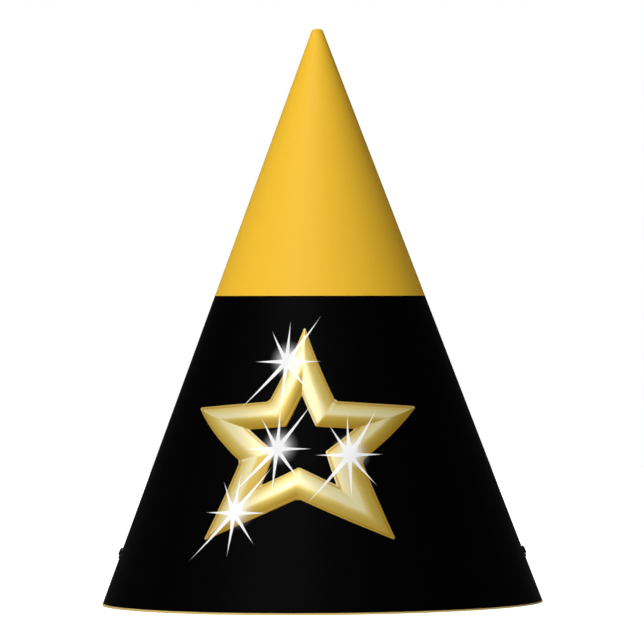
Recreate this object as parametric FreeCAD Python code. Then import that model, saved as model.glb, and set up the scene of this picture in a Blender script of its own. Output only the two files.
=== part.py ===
"""Cone party hat: a printed card cone with a raised star on its front.

A chin elastic is knotted through two side holes and tucked inside the cone.

Frame: millimetres, +Z up along the cone's axis. The origin is the centre of the rim, on the
surface that the hat stands on. The front, with the star, faces -Y. The seam is at the back, +Y.
"""

import FreeCAD
import Part

import math
import os

Vector = FreeCAD.Vector

# ---- Driving dimensions -------------------------------------------------------------------------
RIM_RADIUS = 67.2  # outer face of the card at the rim
APEX_HEIGHT = 179.1  # where the cone's sloping lines would meet
TIP_HEIGHT = 175.3  # front of the cropped tip
TIP_TILT = 23.0  # degrees: the crop falls away towards the seam

CARD = 0.40  # card thickness, about 300 g/m2
PRINT = 0.10  # printed film on the card's outer face
TAPE = 0.15  # double-sided tape in the seam

BAND_TOP = 93.8  # where the black print meets the gold print
BAND_SKEW = 0.45  # degrees: the blank is printed a little lower at +X than at -X
RIM_LINE = 0.56  # height of the gold line along the rim
RIM_SKEW = 0.08  # degrees: that line is thinner at +X

# Angles run anticlockwise from +X, seen from above, in degrees.
SEAM_CENTRE = 90.0
OVERLAP = 12.0  # angle that the outer flap covers the inner flap
RAMP = 12.0  # angle over which the sheet climbs onto the inner flap
RAMP_SECTIONS = 7
TUCK = 1.0  # angle that the print runs in under the outer flap
TAPE_WIDTH = 6.0
TAPE_LOW = 3.0
TAPE_HIGH = 96.0

HOLE_HEIGHT = 15.75  # midway between the two holes' heights
HOLE_SKEW = 0.22  # degrees: the holes sit a little lower at +X too
HOLE_RADIUS = 1.0

CORD_RADIUS = 0.45
CORD_STRAIGHT = 5.0  # how far in from the card the elastic leaves its hole straight
CORD_CLEARANCE = 0.05  # gap between the elastic and the surface it lies on
ARC_SHARE = 0.45  # share of the shorter run that an arc of the elastic's path may use
KNOT_RADIUS = 1.6
KNOT_HEIGHT = 1.15

# The star, on the cone's surface. Its azimuth is measured from the front, -Y, towards +X.
STAR_AZIMUTH = -7.3
STAR_HEIGHT = 49.6
STAR_REACH = 37.5  # centre to tip, along the surface
STAR_WAIST = 0.45  # centre to inner corner, as a share of the reach
STAR_WIDENING = 1.12  # the star is stretched a little sideways
STAR_BAND = 8.4  # width of the gold band round the open centre
STAR_RELIEF = 0.6
STAR_POINTS = 5

# ---- Worked-out values --------------------------------------------------------------------------
SLOPE = math.atan(RIM_RADIUS / APEX_HEIGHT)  # half-angle of the cone
SEAM_STEP = CARD + TAPE
SHEET_START = SEAM_CENTRE - OVERLAP / 2
SHEET_END = SHEET_START + 360.0 + OVERLAP
RAMP_END = SHEET_START + 360.0
RAMP_START = RAMP_END - RAMP
PRINT_START = SHEET_START + OVERLAP - TUCK
BELOW = -1.0  # sheets start below the rim plane and are trimmed to it
MARGIN = 2.0  # sheets are made this much too long, then trimmed to their edges
BEYOND_TIP = TIP_HEIGHT + MARGIN
CLEAR = 200.0  # larger than the hat, for trimming boxes

AXIS = Vector(0, 0, 1)
CENTRE = Vector(0, 0, 0)


def radius(z, offset):
    """Radius at height z of the face that lies offset outside the card's outer face."""
    return (APEX_HEIGHT - z) * math.tan(SLOPE) + offset / math.cos(SLOPE)


def section(angle, inner, outer, low, high):
    """The closed outline of a sheet cut by the half plane at that angle."""
    corners = [(low, inner), (low, outer), (high, outer), (high, inner), (low, inner)]
    turn = math.radians(angle)
    points = []
    for z, offset in corners:
        r = radius(z, offset)
        points.append(Vector(r * math.cos(turn), r * math.sin(turn), z))
    return Part.makePolygon(points)


def sweep(start, end, inner, outer, low, high):
    """A sheet of constant offset, turned from one angle to another."""
    face = Part.Face(section(start, inner, outer, low, high))
    return face.revolve(CENTRE, AXIS, end - start)


def ramp(inner, outer, low, high):
    """The stretch of a sheet that climbs smoothly onto the inner flap."""
    outlines = []
    for i in range(RAMP_SECTIONS):
        t = i / (RAMP_SECTIONS - 1)
        lift = SEAM_STEP * t * t * (3 - 2 * t)
        angle = RAMP_START + RAMP * t
        outlines.append(section(angle, inner + lift, outer + lift, low, high))
    solid, ruled = True, False
    return Part.makeLoft(outlines, solid, ruled)


def wrapped(inner, outer, low, high, start=SHEET_START):
    """A sheet rolled round the cone from start to the outer flap's edge."""
    main = sweep(start, RAMP_START, inner, outer, low, high)
    climb = ramp(inner, outer, low, high)
    flap = sweep(RAMP_END, SHEET_END, inner + SEAM_STEP, outer + SEAM_STEP, low, high)
    return main.fuse([climb, flap])


def space_above(height, skew=0.0):
    """The space above a level that dips by skew degrees towards +X."""
    space = Part.makeBox(2 * CLEAR, 2 * CLEAR, CLEAR, Vector(-CLEAR, -CLEAR, 0))
    space.rotate(CENTRE, Vector(0, 1, 0), skew)
    space.translate(Vector(0, 0, height))
    return space


def crop_tip(shape):
    """Cuts the tip with a plane that falls away from the front towards the seam."""
    side = 20.0
    tool = Part.makeBox(2 * side, 2 * side, side, Vector(-side, -side, 0))
    tool.rotate(CENTRE, Vector(1, 0, 0), -TIP_TILT)
    tool.translate(Vector(0, -radius(TIP_HEIGHT, 0), TIP_HEIGHT))
    return shape.cut(tool)


def outward(side):
    """The direction square to the card at the right (+1) or left (-1) hole."""
    return Vector(side * math.cos(SLOPE), 0, math.sin(SLOPE))


def hole_centre(side, offset=0.0):
    height = HOLE_HEIGHT - side * radius(HOLE_HEIGHT, 0) * math.tan(math.radians(HOLE_SKEW))
    face = Vector(side * radius(height, 0), 0, height)
    return face + outward(side) * offset


def punch(shape):
    """Punches the two holes for the elastic."""
    reach = 3.0
    for side in (-1, 1):
        tool = Part.makeCylinder(HOLE_RADIUS, 2 * reach, hole_centre(side, -reach), outward(side))
        shape = shape.cut(tool)
    return shape


# ---- The card and what is printed on it ---------------------------------------------------------
def card_cone():
    sheet = wrapped(-CARD, 0, BELOW, BEYOND_TIP)
    return punch(crop_tip(sheet.common(space_above(0))))


def gold_print():
    sheet = wrapped(0, PRINT, BAND_TOP - MARGIN, BEYOND_TIP, PRINT_START)
    return crop_tip(sheet.common(space_above(BAND_TOP, BAND_SKEW)))


def black_print():
    sheet = wrapped(0, PRINT, BELOW, BAND_TOP + MARGIN, PRINT_START)
    sheet = sheet.common(space_above(RIM_LINE, RIM_SKEW))
    return punch(sheet.cut(space_above(BAND_TOP, BAND_SKEW)))


def rim_print():
    sheet = wrapped(0, PRINT, BELOW, RIM_LINE + MARGIN, PRINT_START)
    return sheet.common(space_above(0)).cut(space_above(RIM_LINE, RIM_SKEW))


def seam_tape():
    """A strip of constant width between the two flaps."""
    gap = sweep(SHEET_START, SHEET_START + OVERLAP, 0, TAPE, TAPE_LOW, TAPE_HIGH)
    strip = Part.makeBox(TAPE_WIDTH, CLEAR, CLEAR, Vector(-TAPE_WIDTH / 2, 0, 0))
    return gap.common(strip)


# ---- The raised star ----------------------------------------------------------------------------
def on_front(azimuth, height, right, up):
    """Front view of a point right and up, along the surface, from a centre on the cone."""
    around = math.radians(azimuth) + right / radius(height, 0)
    z = height + up * math.cos(SLOPE)
    return Vector(radius(z, 0) * math.sin(around), 0, z)


def front_prism(points):
    """The outline pushed forward from the cone's axis."""
    face = Part.Face(Part.makePolygon(points + points[:1]))
    return face.extrude(Vector(0, -CLEAR, 0))


def star_outline(reach):
    points = []
    for i in range(2 * STAR_POINTS):
        r = reach if i % 2 == 0 else reach * STAR_WAIST
        turn = math.pi * i / STAR_POINTS
        right = r * math.sin(turn) * STAR_WIDENING
        points.append(on_front(STAR_AZIMUTH, STAR_HEIGHT, right, r * math.cos(turn)))
    return points


def star_prisms():
    """The star's outer outline and its open centre, pushed forward."""
    half_point = math.pi / STAR_POINTS
    across = STAR_WAIST * math.sin(half_point)
    along = 1 - STAR_WAIST * math.cos(half_point)
    edge_distance = STAR_REACH * math.sin(math.atan2(across, along))
    open_reach = STAR_REACH * (1 - STAR_BAND / edge_distance)
    return front_prism(star_outline(STAR_REACH)), front_prism(star_outline(open_reach))


def star_emblem():
    outer, centre = star_prisms()
    front_shell = sweep(180.0, 360.0, PRINT, PRINT + STAR_RELIEF, 0, TIP_HEIGHT)
    return front_shell.common(outer.cut(centre))


# ---- The chin elastic ---------------------------------------------------------------------------
def knot(side):
    """A flat-bottomed cap that stands for the knot outside a hole."""
    ball = (KNOT_RADIUS**2 + KNOT_HEIGHT**2) / (2 * KNOT_HEIGHT)
    latitude = math.degrees(math.asin((ball - KNOT_HEIGHT) / ball))
    middle = hole_centre(side, PRINT + KNOT_HEIGHT - ball)
    return Part.makeSphere(ball, middle, outward(side), latitude, 90, 360)


# The route from the right hole to the left one, inside the hat: down to the surface, then three
# loose passes from side to side.
FLOOR = CORD_RADIUS + CORD_CLEARANCE
CORD_ROUTE = [
    hole_centre(1, PRINT),
    hole_centre(1, -CORD_STRAIGHT),
    Vector(51.0, -3.0, 9.0),
    Vector(46.5, -8.0, 2.6),
    Vector(41.0, -17.0, FLOOR),
    Vector(31.5, -31.0, FLOOR),
    Vector(15.5, -41.0, FLOOR),
    Vector(-5.0, -44.5, FLOOR),
    Vector(-24.5, -39.0, FLOOR),
    Vector(-38.5, -26.0, FLOOR),
    Vector(-41.0, -9.5, FLOOR),
    Vector(-28.5, 0.5, FLOOR),
    Vector(-9.5, 1.5, FLOOR),
    Vector(9.0, -3.5, FLOOR),
    Vector(27.5, -4.5, FLOOR),
    Vector(40.5, 7.5, FLOOR),
    Vector(39.5, 25.0, FLOOR),
    Vector(26.0, 39.5, FLOOR),
    Vector(6.0, 46.5, FLOOR),
    Vector(-14.5, 43.0, FLOOR),
    Vector(-31.5, 32.5, FLOOR),
    Vector(-41.5, 18.0, FLOOR),
    Vector(-46.0, 8.0, 2.2),
    Vector(-50.5, 3.0, 8.5),
    hole_centre(-1, -CORD_STRAIGHT),
    hole_centre(-1, PRINT),
]


def rounded_path(points):
    """Straight runs joined by arcs, each as large as its two runs allow."""
    edges = []
    start = points[0]
    radii = []
    for before, corner, after in zip(points, points[1:], points[2:]):
        back = before - corner
        ahead = after - corner
        turn = math.pi - back.getAngle(ahead)
        tangent = ARC_SHARE * min(back.Length, ahead.Length)
        r = tangent / math.tan(turn / 2)
        radii.append(r)
        back.normalize()
        ahead.normalize()
        arc_start = corner + back * tangent
        arc_end = corner + ahead * tangent
        inward = (back + ahead).normalize()
        middle = corner + inward * (r / math.cos(turn / 2) - r)
        edges.append(Part.LineSegment(start, arc_start).toShape())
        edges.append(Part.Arc(arc_start, middle, arc_end).toShape())
        start = arc_end
    edges.append(Part.LineSegment(start, points[-1]).toShape())
    print("cord arc radii, mm:", [round(r, 1) for r in radii])
    return Part.Wire(edges)


def elastic_cord():
    path = rounded_path(CORD_ROUTE)
    ring = Part.Wire(Part.makeCircle(CORD_RADIUS, CORD_ROUTE[0], CORD_ROUTE[1] - CORD_ROUTE[0]))
    solid, frenet = True, False
    tube = path.makePipeShell([ring], solid, frenet)
    expected = math.pi * CORD_RADIUS**2 * path.Length
    print(f"cord length {path.Length:.1f} mm, volume {tube.Volume:.2f} of {expected:.2f} mm3")
    return tube


PARTS = {
    "card_cone": card_cone,
    "gold_print": gold_print,
    "black_print": black_print,
    "rim_print": rim_print,
    "seam_tape": seam_tape,
    "star_emblem": star_emblem,
    "elastic_cord": elastic_cord,
    "knot_right": lambda: knot(1),
    "knot_left": lambda: knot(-1),
}


def main():
    os.makedirs("parts", exist_ok=True)
    for name, build in PARTS.items():
        shape = build()
        shape.exportStep(f"parts/{name}.step")
        box = shape.BoundBox
        size = f"{box.XLength:.1f} x {box.YLength:.1f} x {box.ZLength:.1f} mm"
        print(f"{name}: {len(shape.Solids)} solid, valid {shape.isValid()}, {shape.Volume:.1f} mm3, {size}")


main()
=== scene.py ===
"""Looks of the cone party hat: printed card, an embossed foil star, and a chin elastic with knots.

Everything is in metres and +Z up, in the CAD part's frame. The front, with the star, faces -Y.
The seam is at the back, +Y. The elastic's holes are at +X and -X.
"""

import math

import bmesh
import bpy
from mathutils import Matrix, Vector


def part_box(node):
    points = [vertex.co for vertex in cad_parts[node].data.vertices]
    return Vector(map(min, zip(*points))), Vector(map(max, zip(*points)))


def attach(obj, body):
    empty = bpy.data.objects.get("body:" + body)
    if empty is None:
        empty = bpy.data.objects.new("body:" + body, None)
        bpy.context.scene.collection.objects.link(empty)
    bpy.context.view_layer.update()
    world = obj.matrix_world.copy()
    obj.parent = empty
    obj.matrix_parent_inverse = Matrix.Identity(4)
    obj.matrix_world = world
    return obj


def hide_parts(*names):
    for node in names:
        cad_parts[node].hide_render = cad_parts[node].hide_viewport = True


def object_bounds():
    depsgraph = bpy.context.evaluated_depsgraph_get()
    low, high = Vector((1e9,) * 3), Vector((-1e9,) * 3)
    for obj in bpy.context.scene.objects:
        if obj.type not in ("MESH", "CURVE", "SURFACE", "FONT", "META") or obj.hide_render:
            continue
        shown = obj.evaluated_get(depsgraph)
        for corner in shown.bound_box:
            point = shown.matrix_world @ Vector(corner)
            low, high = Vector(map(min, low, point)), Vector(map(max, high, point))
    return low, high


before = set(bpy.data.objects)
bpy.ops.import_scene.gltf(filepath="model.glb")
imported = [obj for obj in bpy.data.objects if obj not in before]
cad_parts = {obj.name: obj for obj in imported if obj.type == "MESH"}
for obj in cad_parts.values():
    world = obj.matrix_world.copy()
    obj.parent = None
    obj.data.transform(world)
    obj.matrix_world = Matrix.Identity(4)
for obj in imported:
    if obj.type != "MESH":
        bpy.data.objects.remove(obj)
cad_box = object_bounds()

MM = 0.001
BODY = "root"

# ---- Sizes, the same as the CAD part's ----------------------------------------------------------
RIM_RADIUS = 67.2 * MM
APEX_HEIGHT = 179.1 * MM  # where the cone's sloping lines would meet
TIP_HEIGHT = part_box("card_cone")[1].z
TIP_TILT = math.radians(23.0)
BAND_TOP = 93.8 * MM  # where the black print meets the gold print
BAND_SKEW = math.radians(0.45)  # the print sits a little lower at +X
RIM_LINE = 0.56 * MM  # height of the gold line along the rim
RIM_SKEW = math.radians(0.08)

CARD = 0.40 * MM
PRINT = 0.10 * MM
TAPE = 0.15 * MM

# Angles run anticlockwise from +X, seen from above, in degrees.
SHEET_START = 84
SHEET_END = 456
RAMP_START = 432
RAMP_END = 444
PRINT_START = 95

HOLE_HEIGHT = 15.75 * MM  # midway between the two holes' heights
HOLE_SKEW = math.radians(0.22)  # the holes sit a little lower at +X too
HOLE_RADIUS = 1.0 * MM
RIGHT, LEFT = 360, 180  # the angles of the two holes, within SHEET_START to SHEET_END

FRONT = 270  # the angle of the front, -Y
STAR_AZIMUTH = -7.3  # degrees from the front towards +X
STAR_HEIGHT = 49.6 * MM
STAR_REACH = 37.5 * MM  # centre to tip, along the surface
STAR_WAIST = 0.45  # centre to inner corner, as a share of the reach
STAR_WIDENING = 1.12  # the star is stretched a little sideways
STAR_BAND = 8.4 * MM  # width of the gold band round the open centre
STAR_POINTS = 5

CORD_DIAMETER = 0.9 * MM
CORD_STRAIGHT = 5.0 * MM  # how far in from the card the elastic leaves its hole straight
CORD_CLEARANCE = 0.05 * MM  # gap between the elastic and the surface it lies on

SLOPE = math.atan(RIM_RADIUS / APEX_HEIGHT)  # half-angle of the cone
TAN, SIN, COS = math.tan(SLOPE), math.sin(SLOPE), math.cos(SLOPE)


# ---- The rolled sheet ---------------------------------------------------------------------------
def lift(angle):
    """How far the sheet has climbed, square to itself, to lap over its own start."""
    t = min(max((angle - RAMP_START) / (RAMP_END - RAMP_START), 0.0), 1.0)
    return (CARD + TAPE) * t * t * (3 - 2 * t)


def radius(height, offset=0.0):
    """Radius at that height of the face that lies offset outside the card's outer face."""
    return (APEX_HEIGHT - height) * TAN + offset / COS


def tip_edge(turn, offset):
    """Height at which the slanting crop of the tip meets a face of that offset."""
    fall = math.tan(TIP_TILT)
    across = fall * math.sin(turn)
    height = TIP_HEIGHT - fall * radius(TIP_HEIGHT) - across * radius(0, offset)
    return height / (1 - across * TAN)


def place(angle, height, offset):
    """The point of the sheet at that angle and height, offset outward from its outer face."""
    turn = math.radians(angle)
    offset += lift(angle)
    height = min(height, tip_edge(turn, offset))
    r = radius(height, offset)
    return Vector((r * math.cos(turn), r * math.sin(turn), height))


def skewed(height, skew, angle):
    """A level that dips towards +X."""
    return height - radius(height) * math.cos(math.radians(angle)) * math.tan(skew)


def hole_height(angle):
    """Height of the centre of the hole at that angle."""
    return skewed(HOLE_HEIGHT, HOLE_SKEW, angle)


def hole_point(angle, right, up, out):
    """A point near a hole, from the hole's centre on the card's outer face."""
    turn = math.radians(angle)
    outward = Vector((math.cos(turn) * COS, math.sin(turn) * COS, SIN))
    tangent = Vector((-math.sin(turn), math.cos(turn), 0))
    centre = place(angle, hole_height(angle), 0)
    return centre + tangent * right + outward.cross(tangent) * up + outward * out


# ---- Camera -------------------------------------------------------------------------------------
CAMERA_DISTANCE = 1.70
CAMERA_HEIGHT = 92.5 * MM
CAMERA_LENS = 311.0  # millimetres, on a sensor of that width
CAMERA_SENSOR = 36.0
CAMERA_ROLL = math.radians(0.52)
AIM_RIGHT = 0.7 * MM  # how far towards +X it stands
AIM_HEIGHT = 85.8 * MM  # the height at the hat's axis that it points at


def make_camera():
    data = bpy.data.cameras.new("camera")
    data.lens = CAMERA_LENS
    data.sensor_width = CAMERA_SENSOR
    data.clip_start, data.clip_end = 0.05, 20.0
    camera = bpy.data.objects.new("camera", data)
    bpy.context.scene.collection.objects.link(camera)
    camera.location = (AIM_RIGHT, -CAMERA_DISTANCE, CAMERA_HEIGHT)
    pitch = math.atan((CAMERA_HEIGHT - AIM_HEIGHT) / CAMERA_DISTANCE)
    camera.rotation_euler = (math.pi / 2 - pitch, CAMERA_ROLL, 0)
    bpy.context.scene.camera = camera


# ---- Material nodes -----------------------------------------------------------------------------
def srgb(red, green, blue):
    """A screen colour, 0 to 255, as linear light."""
    def linear(value):
        value /= 255
        return value / 12.92 if value <= 0.04045 else ((value + 0.055) / 1.055) ** 2.4
    return (linear(red), linear(green), linear(blue), 1.0)


MIX_INPUTS = (6, 7)  # the sockets of a Mix node that take its two colours
MIX_OUTPUT = 2


class Nodes:
    """A material's node tree, with short calls for the nodes used here."""

    def __init__(self, name):
        self.material = bpy.data.materials.new(name)
        self.material.use_nodes = True
        self.tree = self.material.node_tree
        self.shader = self.tree.nodes["Principled BSDF"]

    def link(self, value, socket):
        if isinstance(value, bpy.types.NodeSocket):
            self.tree.links.new(value, socket)
        else:
            socket.default_value = value

    def set(self, **values):
        for name, value in values.items():
            self.link(value, self.shader.inputs[name.replace("_", " ")])

    def math(self, operation, *values, clamp=False):
        node = self.tree.nodes.new("ShaderNodeMath")
        node.operation = operation
        node.use_clamp = clamp
        for value, socket in zip(values, node.inputs):
            self.link(value, socket)
        return node.outputs[0]

    def mix(self, factor, first, second):
        node = self.tree.nodes.new("ShaderNodeMix")
        node.data_type = "RGBA"
        self.link(factor, node.inputs["Factor"])
        for value, socket in zip((first, second), MIX_INPUTS):
            self.link(value, node.inputs[socket])
        return node.outputs[MIX_OUTPUT]

    def position(self):
        """Place on the object, in metres."""
        return self.tree.nodes.new("ShaderNodeTexCoord").outputs["Object"]

    def noise(self, size, detail=2.0):
        """Noise from 0 to 1, whose lumps are about that size in metres."""
        node = self.tree.nodes.new("ShaderNodeTexNoise")
        node.inputs["Scale"].default_value = 1 / size
        node.inputs["Detail"].default_value = detail
        self.link(self.position(), node.inputs["Vector"])
        return node.outputs["Fac"]

    def attribute(self, name):
        node = self.tree.nodes.new("ShaderNodeAttribute")
        node.attribute_name = name
        return node.outputs["Fac"]

    def ramp(self, factor, stops):
        node = self.tree.nodes.new("ShaderNodeValToRGB")
        elements = node.color_ramp.elements
        while len(elements) < len(stops):
            elements.new(0.5)
        for element, (position, colour) in zip(elements, stops):
            element.position, element.color = position, colour
        self.link(factor, node.inputs[0])
        return node.outputs[0]

    def bump(self, height, distance, strength=1.0):
        node = self.tree.nodes.new("ShaderNodeBump")
        node.inputs["Distance"].default_value = distance
        node.inputs["Strength"].default_value = strength
        self.link(height, node.inputs["Height"])
        self.link(node.outputs[0], self.shader.inputs["Normal"])

    def spread(self, middle, *parts):
        """The middle value, plus each (noise, share) as a swing of that share either way."""
        total = middle
        for noise, share in parts:
            swing = self.math("MULTIPLY_ADD", noise, 2 * share, -share)
            total = self.math("ADD", total, swing)
        return total


# ---- Glints printed on the front ----------------------------------------------------------------
# Each glint's azimuth, in degrees from the front towards +X, and its height.
GLINTS = [
    (-14.8, 74.2 * MM),
    (-15.5, 48.4 * MM),
    (-27.3, 29.6 * MM),
    (9.6, 46.5 * MM),
]
# Each ray's direction, in degrees from the right, and its length. A ray narrows to nothing.
GLINT_RAYS = [
    (0, 10.0 * MM),
    (54, 17.0 * MM),
    (89, 12.3 * MM),
    (121, 10.8 * MM),
    (180, 9.6 * MM),
    (231, 18.6 * MM),
    (269, 13.0 * MM),
    (307, 11.6 * MM),
]
RAY_HALF_WIDTH = 0.75 * MM
RAY_SOFTNESS = 0.12 * MM
HALO_RADIUS = 6.6 * MM
HALO_STRENGTH = 1.65
HALO_FALLOFF = 2.4
HALO_SHIFT = 0.7 * MM  # the halo sits a little to the right of its glint and above it


def glint_mask(nodes):
    """1 on the glints and 0 away from them, measured over the unrolled front of the cone."""
    split = nodes.tree.nodes.new("ShaderNodeSeparateXYZ")
    nodes.link(nodes.position(), split.inputs[0])
    x, y, z = split.outputs
    azimuth = nodes.math("ARCTAN2", x, nodes.math("MULTIPLY", y, -1.0))
    total = 0.0
    for degrees, height in GLINTS:
        around = nodes.math("SUBTRACT", azimuth, math.radians(degrees))
        right = nodes.math("MULTIPLY", around, radius(height))
        up = nodes.math("MULTIPLY", nodes.math("SUBTRACT", z, height), 1 / COS)
        for direction, length in GLINT_RAYS:
            c, s = math.cos(math.radians(direction)), math.sin(math.radians(direction))
            along = nodes.math("MULTIPLY_ADD", right, c, nodes.math("MULTIPLY", up, s))
            aside = nodes.math("MULTIPLY_ADD", right, -s, nodes.math("MULTIPLY", up, c))
            half = nodes.math("MULTIPLY_ADD", along, -RAY_HALF_WIDTH / length, RAY_HALF_WIDTH)
            inside = nodes.math("SUBTRACT", half, nodes.math("ABSOLUTE", aside))
            ray = nodes.math("MULTIPLY_ADD", inside, 1 / RAY_SOFTNESS, 0.5, clamp=True)
            ahead = nodes.math("MULTIPLY_ADD", along, 1 / RAY_SOFTNESS, 1.0, clamp=True)
            total = nodes.math("MAXIMUM", nodes.math("MULTIPLY", ray, ahead), total)
        right = nodes.math("SUBTRACT", right, HALO_SHIFT)
        up = nodes.math("SUBTRACT", up, HALO_SHIFT)
        squares = nodes.math("MULTIPLY_ADD", right, right, nodes.math("MULTIPLY", up, up))
        near = nodes.math("SQRT", squares)
        fade = nodes.math("MULTIPLY_ADD", near, -1 / HALO_RADIUS, 1.0, clamp=True)
        halo = nodes.math("MULTIPLY", nodes.math("POWER", fade, HALO_FALLOFF), HALO_STRENGTH)
        total = nodes.math("ADD", total, halo, clamp=True)
    return total


# ---- Materials ----------------------------------------------------------------------------------
GOLD = (1.0, 0.582, 0.038, 1.0)
BLACK = (0.0004, 0.0004, 0.0004, 1.0)
WHITE = (1.0, 1.0, 1.0, 1.0)
CARD_WHITE = (0.86, 0.85, 0.81, 1.0)

MOTTLE_SIZES = (1.3 * MM, 18 * MM)  # fine and broad
FIBRE_SIZES = (0.35 * MM, 1.6 * MM)
PATCH_SIZE = 0.6 * MM  # of a print's duller and glossier patches
INK_GRAIN = 0.006 * MM  # depth of the card's grain through a print
CARD_GRAIN = 0.02 * MM  # depth of the bare card's grain
FOIL_GRAIN = 0.004 * MM


def printed(nodes, colour, swing):
    """A print colour with the faint mottle of ink on card."""
    shade = nodes.spread(1.0, *[(nodes.noise(size), swing) for size in MOTTLE_SIZES])
    scale = nodes.tree.nodes.new("ShaderNodeVectorMath")
    scale.operation = "SCALE"
    scale.inputs[0].default_value = colour[:3]
    nodes.link(shade, scale.inputs["Scale"])
    return scale.outputs[0]


def card_grain(nodes, depth):
    fine, coarse = FIBRE_SIZES
    fibres = nodes.math("ADD", nodes.noise(fine, 4.0), nodes.noise(coarse))
    nodes.bump(fibres, depth)


def gold_print():
    nodes = Nodes("gold_print")
    nodes.set(Base_Color=printed(nodes, GOLD, 0.012), Specular_IOR_Level=0.10)
    nodes.set(Roughness=nodes.spread(0.48, (nodes.noise(PATCH_SIZE), 0.05)))
    card_grain(nodes, INK_GRAIN)
    return nodes.material


def black_print():
    nodes = Nodes("black_print")
    mask = glint_mask(nodes)
    base = printed(nodes, BLACK, 0.06)
    nodes.set(Base_Color=nodes.mix(mask, base, WHITE), Specular_IOR_Level=0.025)
    nodes.set(Roughness=nodes.spread(0.55, (nodes.noise(PATCH_SIZE), 0.05)))
    card_grain(nodes, INK_GRAIN)
    return nodes.material


def rim_print():
    nodes = Nodes("rim_print")
    nodes.set(Base_Color=printed(nodes, srgb(226, 196, 120), 0.03), Specular_IOR_Level=0.25)
    nodes.set(Roughness=0.5)
    card_grain(nodes, INK_GRAIN)
    return nodes.material


def white_card():
    nodes = Nodes("white_card")
    nodes.set(Base_Color=printed(nodes, CARD_WHITE, 0.02), Specular_IOR_Level=0.2)
    nodes.set(Roughness=nodes.spread(0.85, (nodes.noise(PATCH_SIZE), 0.06)))
    card_grain(nodes, CARD_GRAIN)
    return nodes.material


# The foil's printed colours: painted shade to painted highlight, as its sides turn to LIGHT_FROM.
FOIL_PAINTED_SHADING = [
    (0.0, srgb(181, 144, 40)),
    (0.15, srgb(194, 161, 60)),
    (0.33, srgb(206, 178, 82)),
    (0.42, srgb(223, 199, 112)),
    (0.52, srgb(240, 227, 172)),
    (0.66, srgb(240, 229, 180)),
    (0.85, srgb(235, 218, 146)),
    (1.0, srgb(224, 195, 106)),
]
# How much of the edge colour there is, from the band's edge inwards: a lip, a dark line, then none.
FOIL_EDGE = [(0.0, 0.45), (0.035, 0.5), (0.06, 1.0), (0.085, 1.0), (0.12, 0.0)]
FOIL_EDGE_COLOUR = srgb(184, 142, 34)
FOIL_EDGE_STRENGTH = 0.7
FOIL_METAL = 0.12
FOIL_GLOW = 0.10  # of the glints on the foil


def grey(value):
    return (value, value, value, 1.0)


def gold_foil():
    """Foil on a printed bevel, with painted highlight and shade: cream facing up and left, amber
    elsewhere.
    """
    nodes = Nodes("gold_foil")
    mask = glint_mask(nodes)
    across, facing = nodes.attribute("across"), nodes.attribute("facing")
    tilt = nodes.math("COSINE", nodes.math("MULTIPLY", across, math.pi))
    light = nodes.math("MULTIPLY_ADD", nodes.math("MULTIPLY", tilt, facing), 0.5, 0.5)
    light = nodes.spread(light, (nodes.noise(9 * MM), 0.04), (nodes.noise(1.2 * MM), 0.01))
    # painted highlight and shade: lighter where the bevel faces LIGHT_FROM, darker where it faces away
    painted_shading = nodes.ramp(light, FOIL_PAINTED_SHADING)
    outer_edge = [(position, grey(value)) for position, value in FOIL_EDGE]
    inner_edge = [(1 - position, grey(value)) for position, value in reversed(FOIL_EDGE)]
    edge = nodes.math("MULTIPLY", nodes.ramp(across, outer_edge + inner_edge), FOIL_EDGE_STRENGTH)
    base = nodes.mix(edge, painted_shading, FOIL_EDGE_COLOUR)
    nodes.set(Base_Color=nodes.mix(mask, base, WHITE), Specular_IOR_Level=0.2)
    nodes.set(Metallic=nodes.math("MULTIPLY_ADD", mask, -FOIL_METAL, FOIL_METAL, clamp=True))
    nodes.set(Roughness=nodes.spread(0.34, (nodes.noise(0.8 * MM), 0.05)))
    nodes.set(Emission_Color=WHITE, Emission_Strength=nodes.math("MULTIPLY", mask, FOIL_GLOW))
    card_grain(nodes, FOIL_GRAIN)
    return nodes.material


def black_elastic():
    nodes = Nodes("black_elastic")
    shade = nodes.ramp(nodes.noise(0.25 * MM, 3.0), [
        (0.3, (0.004, 0.004, 0.004, 1.0)),
        (0.8, (0.016, 0.016, 0.017, 1.0)),
    ])
    nodes.set(Base_Color=shade, Roughness=0.8, Specular_IOR_Level=0.2)
    nodes.bump(nodes.noise(0.18 * MM, 3.0), 0.05 * MM)
    return nodes.material


def clear_tape():
    nodes = Nodes("clear_tape")
    shade = nodes.ramp(nodes.noise(3.0 * MM), [
        (0.2, (0.80, 0.78, 0.68, 1.0)),
        (0.8, (0.90, 0.89, 0.82, 1.0)),
    ])
    nodes.set(Base_Color=shade, Roughness=0.12)
    return nodes.material


# ---- Meshes -------------------------------------------------------------------------------------
SHARP = math.radians(40)  # an edge that turns by more than this is a corner


def add_piece(name, data, material, node):
    """Adds a piece that stands for one CAD node."""
    piece = bpy.data.objects.new(name, data)
    bpy.context.scene.collection.objects.link(piece)
    data.materials.append(material)
    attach(piece, BODY)
    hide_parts(node)
    return piece


def make_mesh(name, points, faces):
    """A smooth mesh whose edges are sharp where its faces meet at a corner."""
    mesh = bpy.data.meshes.new(name)
    mesh.from_pydata(points, [], faces)
    work = bmesh.new()
    work.from_mesh(mesh)
    for face in work.faces:
        face.smooth = True
    for edge in work.edges:
        if edge.is_manifold and edge.calc_face_angle() > SHARP:
            edge.smooth = False
    work.to_mesh(mesh)
    work.free()
    return mesh


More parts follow.
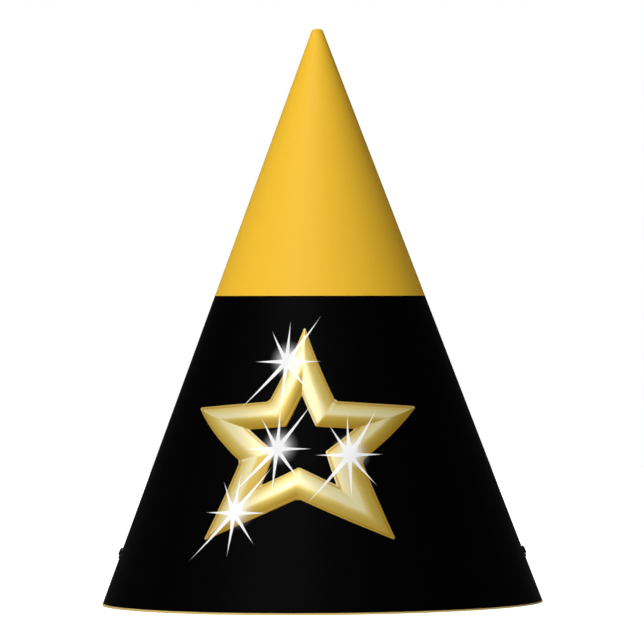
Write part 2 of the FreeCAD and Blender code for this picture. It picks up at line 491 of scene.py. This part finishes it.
def slab(name, flat, faces, inner, outer):
    """A closed thin solid between two offsets from the card's outer face.

    flat holds (angle, height, relief), and relief adds to the outer face.
    """
    count = len(flat)
    points = [place(a, z, outer + relief) for a, z, relief in flat]
    points += [place(a, z, inner) for a, z, relief in flat]
    edges = {pair for face in faces for pair in zip(face, face[1:] + face[:1])}
    solid = list(faces)
    solid += [tuple(count + i for i in reversed(face)) for face in faces]
    solid += [(a, count + a, count + b, b) for a, b in sorted(edges) if (b, a) not in edges]
    return make_mesh(name, points, solid)


WINDOW = 3  # columns of the net cleared either side of a hole, and rows above and below
ROW = 1.0 * MM
HOLE_RINGS = (0.45, 1.0)  # each ring's share of the way from the window's edge to the hole


def level(height, skew=0.0):
    """A level of the net: its height as a function of the angle."""
    return lambda angle: skewed(height, skew, angle)


def level_at_holes(rows_up):
    """A level that passes the holes that many rows above their centres."""
    return lambda angle: hole_height(angle) + rows_up * ROW


def net(start, levels, holes=()):
    """The sheet's net from start to the outer flap, with a round hole punched at each angle.

    Where it has holes, the net has rows of its own about them.
    """
    angles = list(range(start, SHEET_END + 1))
    across = len(angles)
    middle = len(levels) // 2
    if holes:
        rows = [level_at_holes(rows_up) for rows_up in range(-WINDOW, WINDOW + 1)]
        levels = levels[:middle] + rows + levels[middle:]
    flat = [(a, height(a), 0.0) for height in levels for a in angles]

    def cleared(col, row):
        beside = any(abs(angles[col] + 0.5 - hole) < WINDOW for hole in holes)
        return beside and middle <= row < middle + 2 * WINDOW

    faces = []
    for row in range(len(levels) - 1):
        for col in range(across - 1):
            if not cleared(col, row):
                k = row * across + col
                faces.append((k, k + 1, k + across + 1, k + across))

    for hole in holes:
        first = middle * across + angles.index(hole - WINDOW)
        side = 2 * WINDOW
        loop = [first + i for i in range(side)]
        loop += [first + side + i * across for i in range(side)]
        loop += [first + side * across + side - i for i in range(side)]
        loop += [first + (side - i) * across for i in range(side)]
        centre = hole_height(hole)
        for share in HOLE_RINGS:
            ring = []
            for k in loop:
                right = math.radians(flat[k][0] - hole) * radius(centre)
                up = (flat[k][1] - centre) / COS
                size = math.hypot(right, up)
                scale = 1 + (HOLE_RADIUS / size - 1) * share
                ring.append(len(flat))
                angle = hole + math.degrees(right * scale / radius(centre))
                flat.append((angle, centre + up * scale * COS, 0.0))
            faces += [(loop[i - 1], loop[i], ring[i], ring[i - 1]) for i in range(len(loop))]
            loop = ring
    return flat, faces


BEYOND_TIP = level(TIP_HEIGHT + 5 * MM)  # place() cuts this back to the cropped tip
BAND_EDGE = level(BAND_TOP, BAND_SKEW)
RIM_EDGE = level(RIM_LINE, RIM_SKEW)


def make_card():
    flat, faces = net(SHEET_START, [level(0.0), BAND_EDGE, BEYOND_TIP], (LEFT, RIGHT))
    mesh = slab("card_sheet", flat, faces, -CARD, 0.0)
    add_piece("card_sheet", mesh, white_card(), "card_cone")


def make_prints():
    flat, faces = net(PRINT_START, [BAND_EDGE, BEYOND_TIP])
    mesh = slab("gold_ink", flat, faces, 0.0, PRINT)
    add_piece("gold_ink", mesh, gold_print(), "gold_print")

    flat, faces = net(PRINT_START, [RIM_EDGE, BAND_EDGE], (LEFT, RIGHT))
    mesh = slab("black_ink", flat, faces, 0.0, PRINT)
    add_piece("black_ink", mesh, black_print(), "black_print")

    flat, faces = net(PRINT_START, [level(0.0), RIM_EDGE])
    mesh = slab("rim_ink", flat, faces, 0.0, PRINT)
    add_piece("rim_ink", mesh, rim_print(), "rim_print")


def finish_tape():
    """The tape in the seam keeps its CAD shape, and gets a better material."""
    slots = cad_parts["seam_tape"].data.materials
    slots.clear()
    slots.append(clear_tape())


# ---- The star -----------------------------------------------------------------------------------
STAR_STEPS = 22  # points along each of the ten edges
STAR_RINGS = 30  # rows of faces across the band
STAR_SINK = 0.02 * MM  # how far its underside lies below the print's face
CREASE = 0.03  # share of an edge that rounds off each corner's crease
RELIEF = [  # (share of the way from edge to crest, height)
    (0.00, 0.06 * MM),
    (0.02, 0.16 * MM),
    (0.20, 0.22 * MM),
    (0.28, 0.30 * MM),
    (0.50, 0.46 * MM),
    (0.75, 0.58 * MM),
    (1.00, 0.62 * MM),
]
LIGHT_FROM = Vector((-0.6, 0.8))  # where the printed bevel is lit from: left and above
FACING_GAIN = 1.5  # makes the lit and unlit sides differ more


def relief(across):
    """Height of the embossed band, from 0 at its outer edge to 1 at its inner edge."""
    share = 1 - abs(2 * across - 1)
    for (low, start), (high, end) in zip(RELIEF, RELIEF[1:]):
        if share <= high:
            return start + (end - start) * (share - low) / (high - low)
    return RELIEF[-1][1]


def star_corner(i):
    """Corner i of the outline, from the top point, as (right, up) along the surface."""
    reach = STAR_REACH if i % 2 == 0 else STAR_REACH * STAR_WAIST
    turn = math.pi * i / STAR_POINTS
    return Vector((reach * math.sin(turn) * STAR_WIDENING, reach * math.cos(turn)))


def make_star():
    """The embossed star. Its points keep how far across the band they are and how lit their edge is."""
    half_point = math.pi / STAR_POINTS
    corner = math.atan2(STAR_WAIST * math.sin(half_point), 1 - STAR_WAIST * math.cos(half_point))
    open_share = 1 - STAR_BAND / (STAR_REACH * math.sin(corner))

    outline, facings = [], []
    for i in reversed(range(2 * STAR_POINTS)):
        start, end = star_corner(i + 1), star_corner(i)
        edge = end - start
        outward = Vector((edge.y, -edge.x)).normalized()
        shares = [CREASE + (1 - 2 * CREASE) * k / (STAR_STEPS - 1) for k in range(STAR_STEPS)]
        outline += [start + edge * share for share in shares]
        # how far this edge faces the light that the foil's painted highlight and shade imitate
        lit = min(max(outward.dot(LIGHT_FROM) * FACING_GAIN, -1.0), 1.0)
        facings += [lit] * STAR_STEPS

    flat, across, facing = [], [], []
    for ring in range(STAR_RINGS + 1):
        share = ring / STAR_RINGS
        scale = 1 - (1 - open_share) * share
        for point, lit in zip(outline, facings):
            azimuth = STAR_AZIMUTH + math.degrees(point.x * scale / radius(STAR_HEIGHT))
            height = STAR_HEIGHT + point.y * scale * COS
            flat.append((FRONT + azimuth, height, relief(share)))
            across.append(share)
            facing.append(lit)
    count = len(outline)
    faces = []
    for ring in range(STAR_RINGS):
        for i in range(count):
            k, after = ring * count + i, ring * count + (i + 1) % count
            faces.append((k, after, after + count, k + count))
    mesh = slab("star_foil", flat, faces, PRINT - STAR_SINK, PRINT)
    # across and facing drive the foil's painted highlight and shade
    for name, values in (("across", across), ("facing", facing)):
        layer = mesh.attributes.new(name, "FLOAT", "POINT")
        layer.data.foreach_set("value", values * 2)  # for the outer and the inner face
    add_piece("star_foil", mesh, gold_foil(), "star_emblem")


# ---- The chin elastic ---------------------------------------------------------------------------
# The elastic's route between its ends in the two holes, in millimetres: down to the surface, then
# three loose passes from side to side.
FLOOR = (CORD_DIAMETER / 2 + CORD_CLEARANCE) / MM
CORD_ROUTE = [Vector(point) * MM for point in (
    (51.0, -3.0, 9.0),
    (46.5, -8.0, 2.6),
    (41.0, -17.0, FLOOR),
    (31.5, -31.0, FLOOR),
    (15.5, -41.0, FLOOR),
    (-5.0, -44.5, FLOOR),
    (-24.5, -39.0, FLOOR),
    (-38.5, -26.0, FLOOR),
    (-41.0, -9.5, FLOOR),
    (-28.5, 0.5, FLOOR),
    (-9.5, 1.5, FLOOR),
    (9.0, -3.5, FLOOR),
    (27.5, -4.5, FLOOR),
    (40.5, 7.5, FLOOR),
    (39.5, 25.0, FLOOR),
    (26.0, 39.5, FLOOR),
    (6.0, 46.5, FLOOR),
    (-14.5, 43.0, FLOOR),
    (-31.5, 32.5, FLOOR),
    (-41.5, 18.0, FLOOR),
    (-46.0, 8.0, 2.2),
    (-50.5, 3.0, 8.5),
)]


def make_elastic(material):
    route = [
        hole_point(RIGHT, 0, 0, PRINT),
        hole_point(RIGHT, 0, 0, -CORD_STRAIGHT),
        *CORD_ROUTE,
        hole_point(LEFT, 0, 0, -CORD_STRAIGHT),
        hole_point(LEFT, 0, 0, PRINT),
    ]
    curve = bpy.data.curves.new("elastic", "CURVE")
    curve.dimensions = "3D"
    curve.bevel_depth = CORD_DIAMETER / 2
    curve.bevel_resolution = 4
    curve.use_fill_caps = True
    curve.resolution_u = 10
    spline = curve.splines.new("NURBS")
    spline.points.add(len(route) - 1)
    for spline_point, point in zip(spline.points, route):
        spline_point.co = (*point, 1.0)
    spline.order_u = 3
    spline.use_endpoint_u = True
    return add_piece("elastic", curve, material, "elastic_cord")


KNOT_STEPS = 96  # along the loops
KNOT_SIDES = 14  # round the strand
KNOT_SIZE = 0.33 * MM  # a third of how far the loops' centreline reaches
KNOT_WAVE = 0.11 * MM  # how far the strands pass over and under each other
KNOT_RISE = 0.28 * MM  # height of the loops' middle over the print
KNOT_TILT = 0.05  # the lower loops stand out further than the upper one
STRAND = 0.42 * MM  # half the width of the knotted elastic, pulled tight
STRAND_DEPTH = 0.35 * MM  # half its thickness, square to the card
# The cut tail's centreline, from the hole's centre on the print: right, up and out.
TAIL = [Vector(point) * MM for point in (
    (0.10, -0.1, 0.26),
    (0.12, -1.1, 0.18),
    (0.20, -2.1, 0.06),
)]
TAIL_DEPTH = 0.26 * MM
SEAT = 0.02 * MM  # the knot is pressed flat this far above the print


def tube(frames, half_width, half_depth, endless=False):
    """Points and faces of a tube through (centre, sideways, depthwise) frames.

    An endless tube joins its last ring to its first. Any other has a cap at each end.
    """
    points, faces = [], []
    for centre, sideways, depthwise in frames:
        for k in range(KNOT_SIDES):
            turn = 2 * math.pi * k / KNOT_SIDES
            width, depth = half_width * math.cos(turn), half_depth * math.sin(turn)
            points.append(centre + sideways * width + depthwise * depth)
    count = len(points)
    for ring in range(len(frames) if endless else len(frames) - 1):
        for k in range(KNOT_SIDES):
            a, b = ring * KNOT_SIDES + k, ring * KNOT_SIDES + (k + 1) % KNOT_SIDES
            faces.append((b, a, (a + KNOT_SIDES) % count, (b + KNOT_SIDES) % count))
    if not endless:
        faces.append(tuple(range(KNOT_SIDES)))
        faces.append(tuple(reversed(range(count - KNOT_SIDES, count))))
    return points, faces


def knot_point(share, side):
    """A point (right, up, out) of the overhand knot's centreline, from 0 to 1 round its loops."""
    t = 2 * math.pi * share
    right = KNOT_SIZE * side * (math.sin(t) + 2 * math.sin(2 * t))
    up = KNOT_SIZE * (2 * math.cos(2 * t) - math.cos(t))
    return Vector((right, up, KNOT_RISE - KNOT_TILT * up - KNOT_WAVE * math.sin(3 * t)))


def make_knot(name, node, angle, side, material):
    """A small overhand knot pulled flat against the card, with its cut tail pointing down."""
    line = [knot_point(k / KNOT_STEPS, side) for k in range(KNOT_STEPS)]
    frames = []
    for k, point in enumerate(line):
        ahead = line[(k + 1) % KNOT_STEPS] - line[k - 1]
        sideways = ahead.cross(Vector((0, 0, 1))).normalized()
        frames.append((point, sideways, sideways.cross(ahead).normalized()))
    loop_points, loop_faces = tube(frames, STRAND, STRAND_DEPTH, endless=True)
    frames = [(Vector((p.x * side, p.y, p.z)), Vector((-1, 0, 0)), Vector((0, 0, 1))) for p in TAIL]
    tail_points, tail_faces = tube(frames, STRAND, TAIL_DEPTH)
    count = len(loop_points)
    flat = loop_points + tail_points
    points = [hole_point(angle, p.x, p.y, max(p.z, SEAT) + PRINT) for p in flat]
    faces = loop_faces + [tuple(count + i for i in face) for face in tail_faces]
    mesh = make_mesh(name, points, faces)
    return add_piece(name, mesh, material, node)


# ---- Floor and lights ---------------------------------------------------------------------------
FLOOR_RADIUS = 1.3
FLOOR_SIDES = 96
FLOOR_GLOW = 0.85  # seen by the camera only
AMBIENT = 0.04
# Each softbox's name, azimuth in degrees from the front towards +X, elevation in degrees, distance
# and width in metres, and power in watts.
SOFTBOXES = [
    ("left", -50, 40, 1.4, 0.8, 2.6),
    ("key", -25, 42, 1.4, 0.7, 12.5),
    ("right", 30, 40, 1.4, 0.8, 0.5),
    ("back", 180, 35, 1.4, 0.9, 10.0),
]


def make_floor():
    """A plain pale disc. It looks brighter to the camera than it lights the hat from below."""
    turns = [2 * math.pi * k / FLOOR_SIDES for k in range(FLOOR_SIDES)]
    points = [(FLOOR_RADIUS * math.cos(turn), FLOOR_RADIUS * math.sin(turn), 0) for turn in turns]
    mesh = bpy.data.meshes.new("floor")
    mesh.from_pydata(points, [], [tuple(range(FLOOR_SIDES))])
    floor = bpy.data.objects.new("floor", mesh)
    bpy.context.scene.collection.objects.link(floor)
    nodes = Nodes("floor")
    nodes.set(Base_Color=(0.8, 0.8, 0.8, 1.0), Roughness=1.0, Specular_IOR_Level=0.0)
    seen = nodes.tree.nodes.new("ShaderNodeLightPath").outputs["Is Camera Ray"]
    nodes.set(Emission_Color=WHITE, Emission_Strength=nodes.math("MULTIPLY", seen, FLOOR_GLOW))
    mesh.materials.append(nodes.material)


def make_world():
    """White behind the hat, and a dimmer even light on it."""
    world = bpy.data.worlds.new("studio")
    bpy.context.scene.world = world
    world.use_nodes = True
    tree = world.node_tree
    seen = tree.nodes.new("ShaderNodeLightPath").outputs["Is Camera Ray"]
    strength = tree.nodes.new("ShaderNodeMapRange")
    strength.inputs["To Min"].default_value = AMBIENT
    strength.inputs["To Max"].default_value = 1.0
    tree.links.new(seen, strength.inputs["Value"])
    background = tree.nodes["Background"]
    background.inputs["Color"].default_value = WHITE
    tree.links.new(strength.outputs[0], background.inputs["Strength"])


def make_lights():
    """Soft round lights that face the middle of the hat, and that the camera doesn't see."""
    aim = (cad_box[0] + cad_box[1]) / 2
    for name, azimuth, elevation, distance, width, power in SOFTBOXES:
        data = bpy.data.lights.new(name, "AREA")
        data.shape = "DISK"
        data.size = width
        data.energy = power
        lamp = bpy.data.objects.new(name, data)
        bpy.context.scene.collection.objects.link(lamp)
        a, e = math.radians(azimuth), math.radians(elevation)
        away = Vector((math.sin(a) * math.cos(e), -math.cos(a) * math.cos(e), math.sin(e)))
        lamp.location = aim + away * distance
        lamp.visible_camera = False
        lamp.rotation_mode = "QUATERNION"
        lamp.rotation_quaternion = away.to_track_quat("Z", "Y")


# ---- The scene ----------------------------------------------------------------------------------
make_camera()
elastic_black = black_elastic()
elastic = make_elastic(elastic_black)
knots = [
    make_knot("right_knot", "knot_right", RIGHT, 1, elastic_black),
    make_knot("left_knot", "knot_left", LEFT, -1, elastic_black),
]
tuple(hole_point(RIGHT, 0, 0, PRINT))

make_card()
make_prints()
make_star()
finish_tape()
make_floor()
make_world()
make_lights()
bpy.context.scene.view_settings.view_transform = "Standard"
